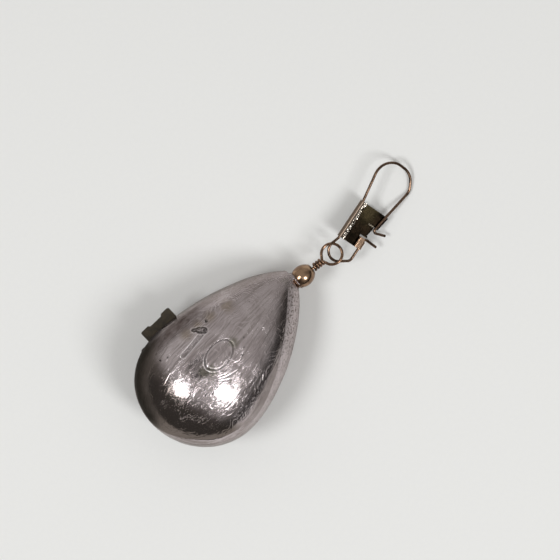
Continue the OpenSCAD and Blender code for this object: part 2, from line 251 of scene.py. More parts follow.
class Tone:
    # a socket that can be added to, multiplied and so on

    def __init__(self, finish, socket):
        self.finish = finish
        self.socket = socket

    def maths(self, operation, *values):
        return self.finish.node("ShaderNodeMath", {"operation": operation}, dict(enumerate(values)))

    def __add__(self, other):
        return self.maths("ADD", self, other)

    def __radd__(self, other):
        return self.maths("ADD", other, self)

    def __sub__(self, other):
        return self.maths("SUBTRACT", self, other)

    def __rsub__(self, other):
        return self.maths("SUBTRACT", other, self)

    def __mul__(self, other):
        return self.maths("MULTIPLY", self, other)

    def __rmul__(self, other):
        return self.maths("MULTIPLY", other, self)

    def __truediv__(self, other):
        return self.maths("DIVIDE", self, other)

    def __rtruediv__(self, other):
        return self.maths("DIVIDE", other, self)

    def __pow__(self, other):
        return self.maths("POWER", self, other)

    def __neg__(self):
        return self.maths("MULTIPLY", self, -1.0)

    def __abs__(self):
        return self.maths("ABSOLUTE", self)

    def least(self, other):
        return self.maths("MINIMUM", self, other)

    def most(self, other):
        return self.maths("MAXIMUM", self, other)

    def fraction(self):
        return self.maths("FRACT", self)

    def rise(self, low, high):
        # 0 below low, 1 above high, eased between
        return self.finish.node("ShaderNodeMapRange", {"interpolation_type": "SMOOTHSTEP"},
                                {"Value": self, "From Min": low, "From Max": high})

    def fall(self, low, high):
        return 1 - self.rise(low, high)

    def band(self, low, full, ebb, high):
        # rises from low to full and falls from ebb to high
        return self.rise(low, full) * self.fall(ebb, high)


class Finish:
    # the nodes of a material, or of the room

    def __init__(self, owner):
        owner.use_nodes = True
        self.owner = owner
        self.tree = owner.node_tree

    def feed(self, slot, value):
        if isinstance(value, Tone):
            self.tree.links.new(value.socket, slot)
        elif slot.type == "RGBA":
            slot.default_value = (*value, 1)
        else:
            slot.default_value = value

    def node(self, kind, settings, inputs, output=0):
        made = self.tree.nodes.new(kind)
        for key, value in settings.items():
            setattr(made, key, value)
        for key, value in inputs.items():
            self.feed(made.inputs[key], value)
        return Tone(self, made.outputs[output])

    def where(self, kind="Object"):
        return self.node("ShaderNodeTexCoord", {}, {}, kind)

    def at(self, matrix):
        # the point in the piece's own millimetres, for a piece that was placed with the matrix
        centre, turn, size = matrix.inverted().decompose()
        return self.node("ShaderNodeMapping", {},
                         {"Vector": self.where(), "Location": centre, "Rotation": turn.to_euler(),
                          "Scale": size})

    def parts(self, vector):
        first = self.node("ShaderNodeSeparateXYZ", {}, {0: vector})
        return [Tone(self, out) for out in first.socket.node.outputs]

    def joined(self, x, y, z):
        return self.node("ShaderNodeCombineXYZ", {}, {"X": x, "Y": y, "Z": z})

    def stretch(self, vector, scale):
        return self.node("ShaderNodeVectorMath", {"operation": "MULTIPLY"}, {0: vector, 1: scale})

    def shift(self, vector, other):
        return self.node("ShaderNodeVectorMath", {"operation": "ADD"}, {0: vector, 1: other})

    def noise(self, vector, scale, detail, roughness, twist=0.0):
        return self.node("ShaderNodeTexNoise", {},
                         {"Vector": vector, "Scale": scale, "Detail": detail, "Roughness": roughness,
                          "Distortion": twist})

    def cells(self, vector, scale):
        return self.node("ShaderNodeTexVoronoi", {}, {"Vector": vector, "Scale": scale})

    def mix(self, mask, first, second):
        return self.node("ShaderNodeMix", {"data_type": "RGBA"}, {0: mask, 6: first, 7: second}, 2)

    def set(self, **inputs):
        shader = self.tree.nodes["Principled BSDF"]
        for key, value in inputs.items():
            self.feed(shader.inputs[key.replace("_", " ")], value)

    def bump(self, height, distance):
        # distance is in millimetres
        self.set(Normal=self.node("ShaderNodeBump", {}, {"Distance": distance * 0.001, "Height": height}))

    def wear(self, obj):
        obj.data.materials.clear()
        obj.data.materials.append(self.owner)


def newFinish(name):
    return Finish(bpy.data.materials.new(name))


# the cast weight

weight = {
    "halfWidth": 17.9,
    "flatness": 28.0 / 35.8,     # thickness over width
    "belly": 18.2,
    "bellyPower": 2.2,
    "taper": 35.6,
    "taperWhole": 36.669,        # where its curve would meet the axis
    "startPower": 1.65,
    "endPower": 0.72,
    "lean": 0.5,                 # how far the ends bend to the tab's side
    "straightAt": 14.0,
    "tipEase": 0.5,
    "tipRound": ((0.6, 0.3), (0.95, 0.8), (1.0, 1.6)),      # along and inwards, shares of the ease
    "bellySteps": 30,
    "taperSteps": 45,
    "sides": 120,
    "pocketSides": 64,
    "dentSize": 4.5,
    "dents": 0.14,               # how deep the casting's slow dents go
    "nub": (-4.6, 17.62, 0.5),   # what is left of the sprue: place and radius
    "nubStretch": (1.5, 0.8, 1.2),
    "collar": (-2.0, 0.3),       # metal drawn up round the barrel: place along it and thickness
    "collarWave": (0.1, 3),      # how far its rim wanders, and how often in a turn
    "castGap": 0.02,             # round what is cast in
    "wireRoom": 0.2,
    "voxel": 0.28,
    "smoothing": 4,
}


def taperHalf(x):
    share = (1 - (x / weight["taperWhole"]) ** weight["startPower"]) ** weight["endPower"]
    return weight["halfWidth"] * share


def halfWidth(x):
    if x >= 0:
        return taperHalf(x)
    return weight["halfWidth"] * (1 - (-x / weight["belly"]) ** weight["bellyPower"]) ** 0.5


def middleLine(x):
    return weight["lean"] * ((x - weight["straightAt"]) / (weight["taper"] - weight["straightAt"])) ** 2


def frontHeight(x, y):
    # height of the weight's front above its axis
    half = halfWidth(x)
    return half * weight["flatness"] * math.sqrt(1 - ((y - middleLine(x)) / half) ** 2)


def weightProfile():
    profile = [(-weight["belly"], 0)]
    for step in range(1, weight["bellySteps"] + 1):
        angle = math.radians(90 * step / weight["bellySteps"])
        profile.append((-weight["belly"] * math.cos(angle) ** (2 / weight["bellyPower"]),
                        weight["halfWidth"] * math.sin(angle)))
    ease = weight["tipEase"]
    last = weight["taper"] - ease
    for step in range(1, weight["taperSteps"] + 1):
        x = last * step / weight["taperSteps"]
        profile.append((x, taperHalf(x)))
    tip = taperHalf(last)
    profile += [(last + ahead * ease, tip - inwards * ease) for ahead, inwards in weight["tipRound"]]
    return profile + [(last + ease, 0)]


def makeWeight():
    body = lathe("castWeight", weightProfile(), weight["sides"])
    openMesh(body)
    bpy.ops.transform.resize(value=(1, 1, weight["flatness"]))
    closeMesh()
    for vertex in body.data.vertices:                       # the middle line bends a little
        vertex.co.y += middleLine(vertex.co.x)
    dents = bpy.data.textures.new("castDents", "CLOUDS")
    dents.noise_scale = weight["dentSize"]
    finishModifier(body, "DISPLACE", texture=dents, texture_coords="LOCAL", strength=weight["dents"],
                   mid_level=1.0)
    return body


number = {
    "nought": (7.6, 1.55),
    "noughtHalf": (4.55, 2.95),
    "noughtPoints": 72,
    "noughtLine": (0.62, 0.16),              # width and depth
    "stem": ((1.4, 8.5), (9.3, 8.5)),
    "stemLine": (1.25, 0.18),
    "flag": ((9.9, 8.65), (9.0, 9.75), (8.0, 10.85)),
    "flagLine": (1.4, 0.26),
    "pitch": 0.4,
}


def grooveAlong(name, points, line, closed=False):
    # a round bar laid over the weight's front: it dips in by the line's depth and is as wide there
    width, depth = line
    radius = (width * width / 4 + depth * depth) / (2 * depth)
    laid = [(x, y, frontHeight(x, y) + radius - depth) for x, y in points]
    return bendWire(name, laid, radius, closed)


def evenly(points):
    # the same path with points at an even pitch
    out = [points[0]]
    for start, end in zip(points, points[1:]):
        count = max(1, round(math.dist(start, end) / number["pitch"]))
        out += [(start[0] + (end[0] - start[0]) * i / count, start[1] + (end[1] - start[1]) * i / count)
                for i in range(1, count + 1)]
    return out


def sinkNumber(body):
    (x, y), (halfX, halfY) = number["nought"], number["noughtHalf"]
    ring = [(x + halfX * math.cos(angle), y + halfY * math.sin(angle))
            for angle in roundAngles(number["noughtPoints"])]
    cutAway(body, grooveAlong("noughtCutter", ring, number["noughtLine"], True))
    cutAway(body, grooveAlong("stemCutter", evenly(number["stem"]), number["stemLine"]))
    cutAway(body, grooveAlong("flagCutter", evenly(number["flag"]), number["flagLine"]))


def addNub(body):
    # the remains of the sprue on the belly's left side
    x, y, radius = weight["nub"]
    nub = newShape(bpy.ops.mesh.primitive_ico_sphere_add, "nub", subdivisions=3, radius=radius,
                   location=(x, y, 0))
    openMesh(nub)
    bpy.ops.transform.resize(value=weight["nubStretch"])
    closeMesh()
    weldOn(body, nub)


def addCollar(body):
    # metal drawn up round the barrel
    along, thick = weight["collar"]
    wave, waves = weight["collarWave"]
    radius = barrelHalf(along) + weight["castGap"]
    ring = [(along + wave * math.sin(waves * angle), radius * math.cos(angle), radius * math.sin(angle))
            for angle in roundAngles(making["ringPoints"])]
    weldOn(body, place(bendWire("collar", ring, thick, True), lying.inverted() @ atSwivel))


def flatUnderneath(body):
    down = lying.inverted()
    point = down @ Vector((0, 0, 0))
    normal = (down.to_3x3() @ Vector((0, 0, 1))).normalized()
    openMesh(body)
    bpy.ops.mesh.bisect(plane_co=point, plane_no=normal, use_fill=True, clear_inner=True)
    closeMesh()


def barrelPocket():
    pocket = lathe("pocketCutter", barrelProfile(weight["castGap"]), weight["pocketSides"])
    return place(pocket, lying.inverted() @ atSwivel)


def eyeRoom():
    # the space that the swivel's inner wire takes up in the metal: its wraps and legs, then its eye
    room = swivel["wire"] + weight["wireRoom"]
    legs = swivel["eye"] * math.cos(math.radians(swivel["legAngle"])) + room
    first, last = -swivel["neck"] - swivel["legRoom"], -swivel["halfLength"]
    stem = lathe("legRoomCutter", [(first, 0), (first, legs), (last, legs), (last, 0)], making["plainSides"])
    ring = [(swivel["eye"] * math.cos(angle) - pose["eyeReach"], swivel["eye"] * math.sin(angle), 0)
            for angle in roundAngles(making["ringPoints"])]
    weldOn(stem, bendWire("eyeRoomCutter", ring, room, True))
    return place(stem, lying.inverted() @ atSwivel)


# the dark tab in the weight's left flank

tab = {
    "length": 9.9,
    "at": 3.2,                   # its middle along the weight
    "out": 2.7,
    "root": 3.0,
    "thick": 1.6,
    "end": 2.6,                  # full-height length at each end
    "waist": 0.6,                # how far the middle is drawn in
    "corner": 0.5,
    "cornerSteps": 5,
    "ease": 0.16,
    "easeSteps": 3,
    "easeOver": 40,              # degrees between faces
    "turn": -6.0,
    "near": 0.01,                # how close counts as the same place
}


def makeTab(name, grow):
    half, reach = tab["length"] / 2, tab["out"] + tab["root"]
    obj = newShape(bpy.ops.mesh.primitive_cube_add, name, size=1)
    openMesh(obj)
    bpy.ops.transform.resize(value=(2 * (half + grow), reach + 2 * grow, tab["thick"] + 2 * grow))
    bpy.ops.transform.translate(value=(0, -reach / 2, 0))
    inner = half - tab["end"]
    for x in (-inner, tab["waist"] - inner, inner - tab["waist"], inner):      # where the waist turns
        bpy.ops.mesh.select_all(action="SELECT")
        bpy.ops.mesh.bisect(plane_co=(x, 0, 0), plane_no=(1, 0, 0))
    closeMesh()
    markOnly(obj, "vertices", lambda point: point.co.y > -reach / 2
             and abs(point.co.x) < inner - tab["waist"] + tab["near"])
    bpy.ops.object.mode_set(mode="EDIT")
    bpy.ops.transform.translate(value=(0, -tab["waist"], 0))
    closeMesh()
    if grow == 0:
        roundTab(obj, half)
    left = middleLine(tab["at"]) + taperHalf(tab["at"]) + tab["out"]
    return place(obj, moved(tab["at"], left) @ turned(tab["turn"]))


def roundTab(obj, half):
    # the upright outer corners rounded, then every edge eased
    for edge in obj.data.edges:
        a, b = (obj.data.vertices[i].co for i in edge.vertices)
        upright = abs(a.x - b.x) < tab["near"] and abs(a.y - b.y) < tab["near"]
        edge.select = upright and abs(abs(a.x) - half) < tab["near"] and a.y > -tab["root"]
    bpy.ops.object.mode_set(mode="EDIT")
    bpy.ops.mesh.select_mode(type="EDGE")
    bpy.ops.mesh.bevel(offset=tab["corner"], segments=tab["cornerSteps"], affect="EDGES")
    closeMesh()
    finishModifier(obj, "BEVEL", width=tab["ease"], segments=tab["easeSteps"], limit_method="ANGLE",
                   angle_limit=math.radians(tab["easeOver"]))


# the swivel

swivel = {
    "radius": 2.9,
    "arc": 3.8,                  # radius of the barrel's side
    "halfLength": 3.2,
    "wall": 0.45,
    "endEase": ((0.06, 0.05), (0.0, 0.16)),      # along and inwards from the barrel's end corner
    "mouthEase": 0.08,
    "mouthGap": 0.05,
    "barrelSides": 72,
    "outsideSteps": 20,          # from the barrel's middle to its end
    "insideSteps": 12,
    "pocketSteps": 16,
    "wire": 0.38,                # radius
    "headInner": 1.7,
    "headRadius": 0.96,
    "headLength": 1.0,
    "headEase": 0.15,
    "headTuck": 0.3,             # how far the wire starts inside its head
    "eye": 2.75,
    "legAngle": 64.0,
    "legRoom": 1.2,
    "neck": 6.495,
    "wrapPitch": 0.84,
    "wrapTurns": 3.35,
    "wrapPoints": 40,            # in a turn
    "wrapStart": -25.0,
    "wrapGap": 0.02,
}


def barrelHalf(x, wall=0.0):
    return swivel["radius"] - swivel["arc"] + math.sqrt((swivel["arc"] - wall) ** 2 - x * x)


def stations(half, reach):
    # evenly spaced places from -reach to reach, with as many on each side of the middle
    return [reach * (step / half - 1) for step in range(2 * half + 1)]


def barrelProfile(grow):
    # the outside alone, closed on the axis
    end = swivel["halfLength"]
    points = [(x, barrelHalf(x) + grow) for x in stations(swivel["pocketSteps"], end)[1:-1]]
    corner = barrelHalf(end) + grow
    return [(-end - grow, 0), (-end - grow, corner)] + points + [(end + grow, corner), (end + grow, 0)]


def makeBarrel():
    end, inner = swivel["halfLength"], swivel["halfLength"] - swivel["wall"]
    lip, mouth = barrelHalf(end), swivel["wire"] + swivel["mouthGap"]
    rim = [(end - along, lip - inwards) for along, inwards in swivel["endEase"]]
    rim += [(end, mouth + swivel["mouthEase"]), (end - swivel["mouthEase"], mouth), (inner, mouth)]
    farRim = [(-x, radius) for x, radius in reversed(rim)]
    outside = [(x, barrelHalf(x)) for x in stations(swivel["outsideSteps"], end)[1:-1]]
    inside = [(-x, barrelHalf(x, swivel["wall"])) for x in stations(swivel["insideSteps"], inner)]
    around = farRim[2:] + outside + rim + inside + farRim[:3]           # a closed line
    barrel = lathe("swivelBarrel", around, swivel["barrelSides"])
    smoothBelow(barrel, making["thinSmooth"])
    return barrel


def wrapPath():
    # the closing leg of the eye, carried on as wraps round the stem and cut square
    radius = 2 * swivel["wire"] + swivel["wrapGap"]
    points = []
    for step in range(int(swivel["wrapTurns"] * swivel["wrapPoints"]) + 1):
        degrees = 360 * step / swivel["wrapPoints"] + swivel["wrapStart"]
        along = swivel["neck"] - swivel["wrapPitch"] * degrees / 360
        angle = math.radians(degrees)
        points.append((along, -radius * math.sin(angle), radius * math.cos(angle)))
    return points


def makeHead():
    inner, outer = swivel["headInner"], swivel["headInner"] + swivel["headLength"]
    radius, ease = swivel["headRadius"], swivel["headEase"]
    return lathe("wireHead", [(inner, 0), (inner, radius - ease), (inner + ease, radius),
                              (outer - ease, radius), (outer, radius - ease), (outer, 0)],
                 making["plainSides"])


def makeSwivelWire():
    bend = 2 * swivel["wire"]
    leg = math.radians(swivel["legAngle"])
    bendLength = bend * math.tan(leg / 2)
    start = swivel["headInner"] + swivel["headTuck"]
    steps = [[swivel["neck"] - bendLength - swivel["headInner"] - swivel["headTuck"]],
             [bend, -swivel["legAngle"]],
             [swivel["eye"] / math.tan(leg) - bendLength],
             [swivel["eye"], 180 + 2 * swivel["legAngle"]]]
    wound = bendWire("swivelWire", runWire(steps, (start, 0, 0)) + wrapPath(), swivel["wire"])
    pick(wound, makeHead())
    bpy.ops.object.join()
    smoothBelow(wound, making["wireSmooth"])
    return wound


# the snap's wire, in two halves that meet inside the clasp's tube

snap = {
    "wire": 0.366,               # radius
    "tube": 11.1,
    "parting": 0.5,
    "lower": [[0.2], [1.6, -19], [1.75], [2.7, 63], [3.1, 79], [2.5], [1.4, 57], [5.4], [0.75, -92], [3.4]],
    "upper": [[0.2], [1.2, 10.4], [7.45], [4.75, -102], [1.3], [4.75, -58], [1.12], [3.0, -40], [12.42],
              [0.75, 117], [2.8]],
}


def makeLowerLoop():
    inTube = (snap["tube"] - snap["parting"]) / 2
    return bendWire("lowerLoop", runWire([[inTube]] + snap["lower"], (inTube, 0, 180)), snap["wire"])


def makeUpperBow():
    inTube = (snap["tube"] - snap["parting"]) / 2
    start = snap["tube"] - inTube
    return bendWire("upperBow", runWire([[inTube]] + snap["upper"], (start, 0, 0)), snap["wire"])


# the snap's clasp

clasp = {
    "sheet": 0.25,
    "plateShare": 0.94,          # of that thickness, in the rolled plate
    "roll": 0.555,               # radius of the sheet's middle round the wire
    "rollFrom": 176,             # degrees
    "plate": 7.9,
    "crimp": 0.95,
    "crimpLift": 0.01,
    "crimpRise": ((-0.76, 0.0), (-0.66, 0.05), (-0.60, 0.13)),      # from the crimp to the roll
    "crimpEdge": -0.62,          # where the crumpling starts
    "crimpOnset": 4,             # how fast it comes in
    "frayed": 0.25,              # width of the torn edge
    "crumpleSize": 1.1,
    "crumple": (0.42, 0.28),     # strength and level at rest, outwards
    "fray": (0.5, 0.35),         # the same, edgeways
    "steps": 74,
    "crimpSteps": 9,
    "rollSteps": 26,
    "plateSteps": 24,
    "bendSteps": 9,
    "clear": (-1, -9.5),         # where the cutting blocks start, off the sheet
    "slit": 3.6,
    "tongueFrom": -4.981,
    "tongueLength": 3.1,
    "tongueBend": 0.25,
    "tongueReach": -0.2,
    "tongueFoot": 0.1,
    "tongueSteps": 20,
    "cornerSteps": 6,
    "reachSteps": 8,
    "legAt": -6.606,
    "curlRoom": ((-9, 5), 0.1),  # the block beside the curl, and how near the leg it comes
    "curlLength": 2.36,
    "edge": -7.2,
    "trough": (7.021, -7.601),
    "troughLength": 4.137,
    "troughTurn": -9.6,
    "troughSteps": 12,
    "troughRoom": ((-3, -3), (6, 0.25)),     # cleared of plate before the trough goes on
    "troughFoot": (0.35, 0.15),
    "troughLip": ((-0.01, 0.1), (-0.03, 0.2)),      # beyond the roll, and up
    "pastTube": (2, -12),        # the block that trims the trough at the tube's end
    "ease": 0.035,
    "easeSteps": 2,
    "easeOver": 50,              # degrees between faces
}


def bendSheet(name, profile, length, steps):
    # a strip of sheet: its section in the YZ plane, pulled out along X
    obj = pullLine(name, [(0, y, z) for y, z in profile])
    for _ in range(steps):
        bpy.ops.mesh.extrude_region_move(TRANSFORM_OT_translate={"value": (length / steps, 0, 0)})
    bpy.ops.mesh.select_all(action="SELECT")
    bpy.ops.mesh.normals_make_consistent(inside=False)
    closeMesh()
    return obj


def arc(centre, radius, first, last, count):
    # points of a bend in the YZ plane, angles in degrees from +Y towards +Z
    angles = [math.radians(first + (last - first) * i / count) for i in range(count + 1)]
    return [(centre[0] + radius * math.cos(angle), centre[1] + radius * math.sin(angle)) for angle in angles]


def straight(start, end, count):
    # points of a line in the YZ plane, without its start
    return [(start[0] + (end[0] - start[0]) * i / count, start[1] + (end[1] - start[1]) * i / count)
            for i in range(1, count + 1)]


def cutBlock(obj, low, high, matrix=Matrix()):
    # takes away a block between two corners (x, y), through the whole thickness
    cutter = newShape(bpy.ops.mesh.primitive_cube_add, "blockCutter", size=1)
    openMesh(cutter)
    bpy.ops.transform.resize(value=(high[0] - low[0], high[1] - low[1], 4))
    bpy.ops.transform.translate(value=((low[0] + high[0]) / 2, (low[1] + high[1]) / 2, 0))
    closeMesh()
    cutAway(obj, place(cutter, matrix))


def crumple(body, name, strength, level, direction, share):
    # displaces the vertices that the share of their place picks out
    group = body.vertex_groups.new(name=name)
    for vertex in body.data.vertices:
        if vertex.co.z > -clasp["roll"] + 0.1 and share(vertex.co.y) > 0:
            group.add([vertex.index], min(1.0, share(vertex.co.y)), "REPLACE")
    finishModifier(body, "DISPLACE", texture=bpy.data.textures["crumple"], texture_coords="LOCAL",
                   direction=direction, mid_level=level, strength=strength, vertex_group=name)


def rollPlate():
    # the crimped edge, its rise, the roll over the wire, and the plate behind
    roll, sheet = clasp["roll"], clasp["sheet"]
    crimpAt = sheet - roll + clasp["crimpLift"]
    edge = -roll - sheet / 2 - clasp["crimp"]
    rise = [(y, crimpAt + up) for y, up in clasp["crimpRise"]]
    section = [(edge, crimpAt)] + straight((edge, crimpAt), rise[0], clasp["crimpSteps"]) + rise[1:]
    section += arc((0, 0), roll, clasp["rollFrom"], -90, clasp["rollSteps"])
    section += straight((0, -roll), (-clasp["plate"], -roll), clasp["plateSteps"])
    body = bendSheet("snapClasp", section, snap["tube"], clasp["steps"])
    texture = bpy.data.textures.new("crumple", "CLOUDS")
    texture.noise_scale = clasp["crumpleSize"]
    texture.noise_type = "HARD_NOISE"
    crumple(body, "crimped", *clasp["crumple"], "Z", lambda y: (clasp["crimpEdge"] - y) * clasp["crimpOnset"])
    crumple(body, "frayed", *clasp["fray"], "Y", lambda y: y < edge + clasp["frayed"])
    finishModifier(body, "SOLIDIFY", thickness=sheet * clasp["plateShare"], offset=0.0)
    return body


def thicken(obj):
    finishModifier(obj, "SOLIDIFY", thickness=clasp["sheet"], offset=0.0, use_even_offset=True)


def bendTrough(matrix):
    # the open channel that the bow's leg springs into
    roll = clasp["roll"]
    section = [(y, -roll) for y in clasp["troughFoot"]] + arc((0, 0), roll, -90, -180, clasp["bendSteps"])
    section += [(out - roll, up) for out, up in clasp["troughLip"]]
    trough = bendSheet("trough", section, clasp["troughLength"], clasp["troughSteps"])
    thicken(trough)
    place(trough, matrix)
    past, low = clasp["pastTube"]
    cutBlock(trough, (snap["tube"], low), (snap["tube"] + past, 0))
    return trough


def bendTongue():
    # the tongue over the lower loop's leg, stepped up from the plate and curled down past the wire
    start, leg, roll, bend = clasp["tongueFrom"], clasp["legAt"], clasp["roll"], clasp["tongueBend"]
    section = [(start, -roll - clasp["sheet"] * clasp["plateShare"] / 2), (start, clasp["tongueFoot"])]
    section += arc((start - bend, roll - bend), bend, 0, 90, clasp["cornerSteps"])
    section += straight((start - bend, roll), (leg, roll), clasp["reachSteps"])
    section += arc((leg, 0), roll, 90, 180, clasp["bendSteps"])[1:] + [(leg - roll, clasp["tongueReach"])]
    tongue = bendSheet("tongue", section, clasp["tongueLength"], clasp["tongueSteps"])
    thicken(tongue)
    (low, past), gap = clasp["curlRoom"]
    cutBlock(tongue, (clasp["curlLength"], low), (past, leg - gap))
    return tongue


def makeClasp():
    body = rollPlate()
    atTrough = moved(*clasp["trough"]) @ turned(clasp["troughTurn"])
    cutBlock(body, clasp["clear"], (clasp["slit"], clasp["tongueFrom"]))
    cutBlock(body, clasp["clear"], (clasp["trough"][0], clasp["edge"]))
    cutBlock(body, *clasp["troughRoom"], atTrough)
    weldOn(body, bendTrough(atTrough))
    weldOn(body, bendTongue())
    finishModifier(body, "BEVEL", width=clasp["ease"], segments=clasp["easeSteps"], limit_method="ANGLE",
                   angle_limit=math.radians(clasp["easeOver"]))
    smoothBelow(body, making["thinSmooth"])
    return body


# build

body = makeWeight()
addNub(body)
addCollar(body)
cutAway(body, barrelPocket())
cutAway(body, eyeRoom())
cutAway(body, makeTab("tabPocketCutter", weight["castGap"]))
sinkNumber(body)
flatUnderneath(body)
finishModifier(body, "REMESH", mode="VOXEL", voxel_size=weight["voxel"], use_smooth_shade=True)
finishModifier(body, "SMOOTH", factor=0.5, iterations=weight["smoothing"])
place(body, lying)
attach(body, "weight")
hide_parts("lead_body")
print("weight made:", len(body.data.polygons), "faces")

sideTab = place(makeTab("sideTab", 0), lying)
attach(sideTab, "weight")
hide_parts("side_tab")

barrel = place(makeBarrel(), atSwivel)
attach(barrel, "weight")
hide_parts("swivel_barrel")

swivelWire = place(makeSwivelWire(), atSwivel)
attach(swivelWire, "swivel")
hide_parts("swivel_eye")

lowerLoop = place(makeLowerLoop(), atSnap)
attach(lowerLoop, "link")
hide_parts("snap_link")

upperBow = place(makeUpperBow(), atSnap)
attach(upperBow, "bow")
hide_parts("snap_bow")
print("tab, swivel and snap wires made")

snapClasp = place(makeClasp(), atSnap)
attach(snapClasp, "clasp")
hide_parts("snap_clasp")
print("clasp made:", len(snapClasp.data.polygons), "faces")


# finishes: the cast weight's

# colours of the cast metal; skin, tarnish, umber and oxide also stand for painted shade and painted
# reflections, brightMetal for a painted glint
castLook = {
    "metal": (0.455, 0.393, 0.395),
    "paleMetal": (0.635, 0.563, 0.57),
    "brightMetal": (0.83, 0.77, 0.775),
    "dullMetal": (0.27, 0.23, 0.215),
    "tarnish": (0.115, 0.095, 0.078),
    "skin": (0.17, 0.138, 0.12),
    "umber": (0.085, 0.063, 0.058),
    "oxide": (0.014, 0.011, 0.008),
    "ochre": (0.27, 0.205, 0.125),
    "olive": (0.17, 0.165, 0.105),
    "sheen": (0.6, 0.59, 0.57),
    "metallic": 0.96,
    "roughness": 0.085,
    "relief": 0.14,
}

castHeights = {                  # how high each mark stands, as a share of the relief
    "broad": 0.20,
    "ridge": 0.20,
    "pits": -0.4,
    "sunk": -0.60,
    "brink": 0.20,
}

castDullness = {                 # roughness that each mark adds
    "patches": 0.05,
    "fibres": 0.06,
    "sandy": 0.22,
    "sunk": 0.12,
    "left": 0.42,
    "flag": 0.2,
}

castSpots = {                    # place on the front, and radius
    "ochre": ((18.6, 8.2, 1.5), (13.6, 9.9, 1.2), (6.0, 11.6, 1.3), (9.8, 10.9, 1.0)),
    "olive": ((3.2, 0.4, 1.3), (1.6, 1.9, 1.1), (12.5, 0.8, 1.1), (34.4, 0.4, 1.7)),
    # a painted dark reflection between the numbers
    "soot": ((2.6, 4.3, 1.9), (0.4, 3.2, 2.0), (2.0, 1.4, 1.3)),
    "pale": ((4.3, 7.4, 2.4), (0.6, 9.6, 2.6), (-2.6, 8.6, 1.8)),
    "pits": ((12.0, 9.8, 0.42), (-3.5, 12.3, 0.3)),
}

castNoise = {                    # scale, detail, roughness and twist
    "fibres": (4.2, 4.0, 0.55, 0.25),
    "broad": (1.1, 3.0, 0.5, 0.5),
    "streaks": (1.9, 3.0, 0.6),
    "patches": (0.17, 4.0, 0.6, 0.4),
    "grain": (2.6, 4.0, 0.65),
    "speckle": (1.7, 3.0, 0.6),
    "waver": (0.4, 2.0, 0.5),
    "wrinkle": (1.0, 3.0, 0.5, 1.2),
    "worm": (1.0, 3.0, 0.55, 1.3),
    "swirl": (1.0, 2.0, 0.5, 1.0),
    "rimLines": (1.0, 2.0, 0.5),
}

castMarks = {                    # where a mark starts and where it is whole, in millimetres or in a noise
    "front": (2.0, 5.0),
    "ridge": (0.05, 0.28, 0.30, 0.52),
    "ridgeBreaks": (0.40, 0.56),
    "creases": (0.955, 1.0),
    "creasePatches": (0.44, 0.60),
    "creasesInward": (4.0, 9.0),
    "skin": (4.2, 9.0),
    "rim": (2.2, 2.6),
    "rimNarrows": (-10.0, 3.0),
    "rimBelow": (2.0, 8.0),
    "leftSide": (-1.5, 5.0),
    "leftCorner": (11.0, 21.0),
    "leftInward": (0.8, 6.0),
    "shoulder": (0.7, 1.5, 2.8, 6.2),
    "shoulderSide": (6.0, 9.0),
    "shoulderAlong": (-6.0, -1.0, 9.0, 19.0),
    "upperRim": (1.8, 2.8),
    "upperRimSide": (2.0, 5.0),
    "upperRimAlong": (4.0, 9.0),
    "rightSide": (0.0, 1.5),
    "rightAlong": (-4.0, 4.0),
    "edgeNarrows": (2.0, 30.0),      # the sandy band gets narrower towards the belly
    "sandy": (3.9, 4.3),
    "streak": (4.8, 7.6),
    "calm": (0.5, 7.0),
    "pits": (0.07, 0.15),
    "pitPatches": (0.42, 0.60),
    "sootLines": (0.86, 0.97),
    "dullTip": (15.0, 26.0),
}

castStretch = {
    "wrinkle": (0.42, 0.75, 0.75),
    "worm": (0.45, 0.85, 0.85),
    "swirl": (0.05, 0.09, 0.09),
}


def fromOutline(x, y):
    # how far inside the weight's outline a point lies, seen from the front
    half = (1 - (x.most(0.0) / weight["taperWhole"]) ** weight["startPower"]) ** weight["endPower"]
    half = half * weight["halfWidth"]
    ahead = x - weight["straightAt"]
    bend = ahead * ahead * (weight["lean"] / (weight["taper"] - weight["straightAt"]) ** 2)
    sideways = (y - bend) / half
    endways = ((-x).most(0.0) / weight["belly"]) ** weight["bellyPower"]
    return (1 - (sideways * sideways + endways) ** 0.5) * half


def castGround(lead):
    # the point, how far it lies inside the outline, and the noises that the other marks are made of
    spot = lead.at(lying)
    x, y, z = lead.parts(spot)
    across = (y * y + z * z * 1.6) ** 0.5 + 1.2
    along = lead.joined(x * 0.030, y / across * 6.0, z / across * 6.0)      # runs from the belly to the tip
    cast = SimpleNamespace(lead=lead, spot=spot, x=x, y=y)
    cast.inward = fromOutline(x, y)
    cast.front = z.rise(*castMarks["front"])
    for name in ("fibres", "broad", "streaks"):
        setattr(cast, name, lead.noise(along, *castNoise[name]))
    for name in ("patches", "grain", "speckle", "waver"):
        setattr(cast, name, lead.noise(spot, *castNoise[name]))
    for name, stretched in castStretch.items():
        setattr(cast, name, lead.noise(lead.stretch(spot, stretched), *castNoise[name]))
    cast.worm = 1 - abs(cast.worm - 0.5) * 2
    cast.ragged = (cast.wrinkle - 0.5) * 2.2 + (cast.patches - 0.5) * 3.0
    return cast


def castFlow(cast):
    # lines where the metal ran and set, bent round slow swirls, creases, and lines along the belly's rim
    rings = (cast.swirl * 17 + cast.y * 0.55 + cast.waver * 0.7).fraction()
    cast.ridge = rings.band(*castMarks["ridge"]) * cast.streaks.rise(*castMarks["ridgeBreaks"])
    creases = cast.worm.rise(*castMarks["creases"]) * cast.inward.rise(*castMarks["creasesInward"])
    cast.creases = creases * (0.2 + cast.patches.rise(*castMarks["creasePatches"]) * 0.8)
    rimward = cast.lead.joined(cast.inward * 2.6, cast.x * 0.10, cast.y * 0.10)
    cast.rimLines = cast.lead.noise(rimward, *castNoise["rimLines"])


